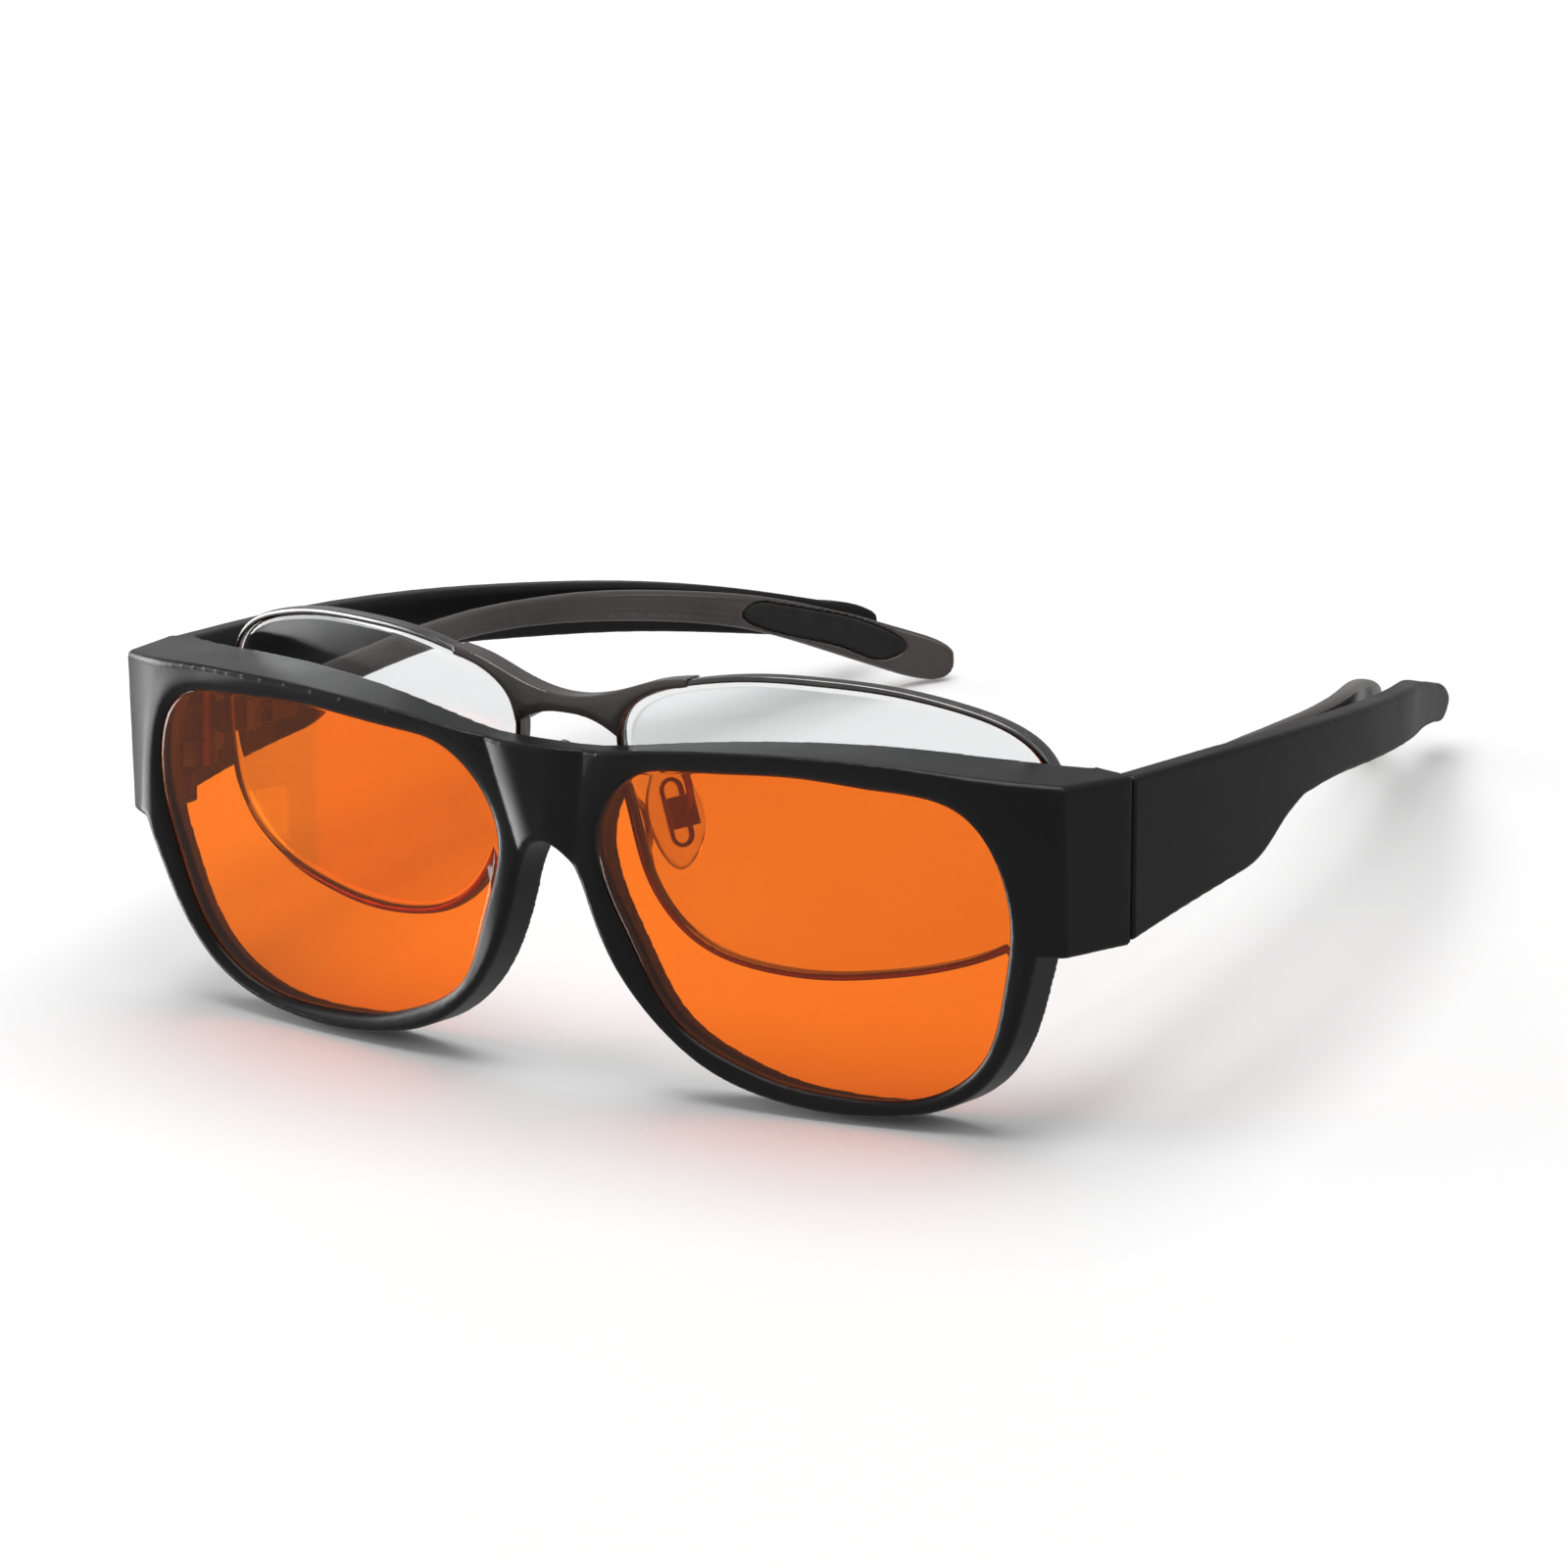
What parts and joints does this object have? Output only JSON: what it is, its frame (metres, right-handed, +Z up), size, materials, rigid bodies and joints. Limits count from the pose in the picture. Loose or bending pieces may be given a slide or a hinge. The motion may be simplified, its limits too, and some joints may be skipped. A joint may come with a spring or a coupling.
{
  "type": "fit-over glasses worn over spectacles",
  "caption": "Black fit-over glasses with orange lenses nested over clear metal-rimmed spectacles; folding temples, rocking nose pads, spectacles lift out.",
  "frame": {"origin": "middle of the footprint on the table, with the rims and temple tips standing on Z = 0", "axes": "+X towards the wearer's left, +Y from the front towards the temple tips, +Z up"},
  "size_m": [0.1518, 0.1384, 0.0545],
  "materials": {
    "fit_over_plastic": "satin black moulded plastic",
    "orange_lens": "clear orange polycarbonate, polished",
    "hinge_metal": "satin nickel silver",
    "screw_metal": "bright steel",
    "rim_metal": "gunmetal, semi-gloss",
    "pad_metal": "dark nickel",
    "smoke_plastic": "smoky grey-brown translucent plastic, glossy",
    "clear_lens": "clear, anti-reflection coated",
    "tip_rubber": "matt black soft rubber",
    "pad_silicone": "clear silicone"
  },
  "bodies": {
    "fit_over": {"fit_over_front": "fit_over_plastic", "orange_lens_left": "orange_lens", "orange_lens_right": "orange_lens", "fit_over_front_leaf_left": "hinge_metal", "fit_over_front_leaf_right": "hinge_metal", "fit_over_hinge_screw_left": "screw_metal", "fit_over_hinge_screw_right": "screw_metal"},
    "spectacles": {"spectacle_bridge": "smoke_plastic", "spectacle_rim_left": "rim_metal", "spectacle_rim_right": "rim_metal", "clear_lens_left": "clear_lens", "clear_lens_right": "clear_lens", "spectacle_endpiece_left": "rim_metal", "spectacle_endpiece_right": "rim_metal", "rim_screw_left": "screw_metal", "rim_screw_right": "screw_metal", "spectacle_hinge_screw_left": "screw_metal", "spectacle_hinge_screw_right": "screw_metal", "pad_wire_left": "rim_metal", "pad_wire_right": "rim_metal", "pad_clip_left": "pad_metal", "pad_clip_right": "pad_metal"},
    "fit_over_left_arm": {"fit_over_temple_left": "fit_over_plastic", "fit_over_temple_leaf_left": "hinge_metal"},
    "spectacles_left_arm": {"spectacle_temple_left": "smoke_plastic", "spectacle_temple_leaf_left": "hinge_metal", "temple_tip_inlay_left": "tip_rubber"},
    "left_nose_pad": {"nose_pad_left": "pad_silicone", "pad_plate_left": "pad_metal"},
    "fit_over_right_arm": {"fit_over_temple_right": "fit_over_plastic", "fit_over_temple_leaf_right": "hinge_metal"},
    "spectacles_right_arm": {"spectacle_temple_right": "smoke_plastic", "spectacle_temple_leaf_right": "hinge_metal", "temple_tip_inlay_right": "tip_rubber"},
    "right_nose_pad": {"nose_pad_right": "pad_silicone", "pad_plate_right": "pad_metal"}
  },
  "joints": [
    {"name": "fit_over_left_fold", "type": "hinge", "parent": "fit_over", "child": "fit_over_left_arm", "pos_m": [0.0688, -0.04848, 0.03269], "axis": [0, 0.1874, 0.9823], "range_deg": [0, 65]},
    {"name": "fit_over_right_fold", "type": "hinge", "parent": "fit_over", "child": "fit_over_right_arm", "pos_m": [-0.0688, -0.04848, 0.03269], "axis": [0, 0.1874, 0.9823], "range_deg": [-65, 0]},
    {"name": "spectacles_lift_out", "type": "slide", "parent": "fit_over", "child": "spectacles", "axis": [0, 0.1874, 0.9823], "range_m": [0, 0.06]},
    {"name": "spectacles_left_fold", "type": "hinge", "parent": "spectacles", "child": "spectacles_left_arm", "pos_m": [0.0638, -0.04366, 0.0334], "axis": [0, 0.1874, 0.9823], "range_deg": [0, 71]},
    {"name": "spectacles_right_fold", "type": "hinge", "parent": "spectacles", "child": "spectacles_right_arm", "pos_m": [-0.0638, -0.04366, 0.0334], "axis": [0, 0.1874, 0.9823], "range_deg": [-71, 0]},
    {"name": "left_nose_pad_rock", "type": "hinge", "parent": "spectacles", "child": "left_nose_pad", "pos_m": [0.01145, -0.05313, 0.03313], "axis": [0.4334, 0.9004, -0.0369], "range_deg": [-8, 8]},
    {"name": "right_nose_pad_rock", "type": "hinge", "parent": "spectacles", "child": "right_nose_pad", "pos_m": [-0.01145, -0.05313, 0.03313], "axis": [-0.4334, 0.9004, -0.0369], "range_deg": [-8, 8]}
  ],
  "couplings": [
    {"joint": "spectacles_left_fold", "follows": "fit_over_left_fold", "ratio": 1.08},
    {"joint": "spectacles_right_fold", "follows": "fit_over_right_fold", "ratio": 1.08}
  ]
}
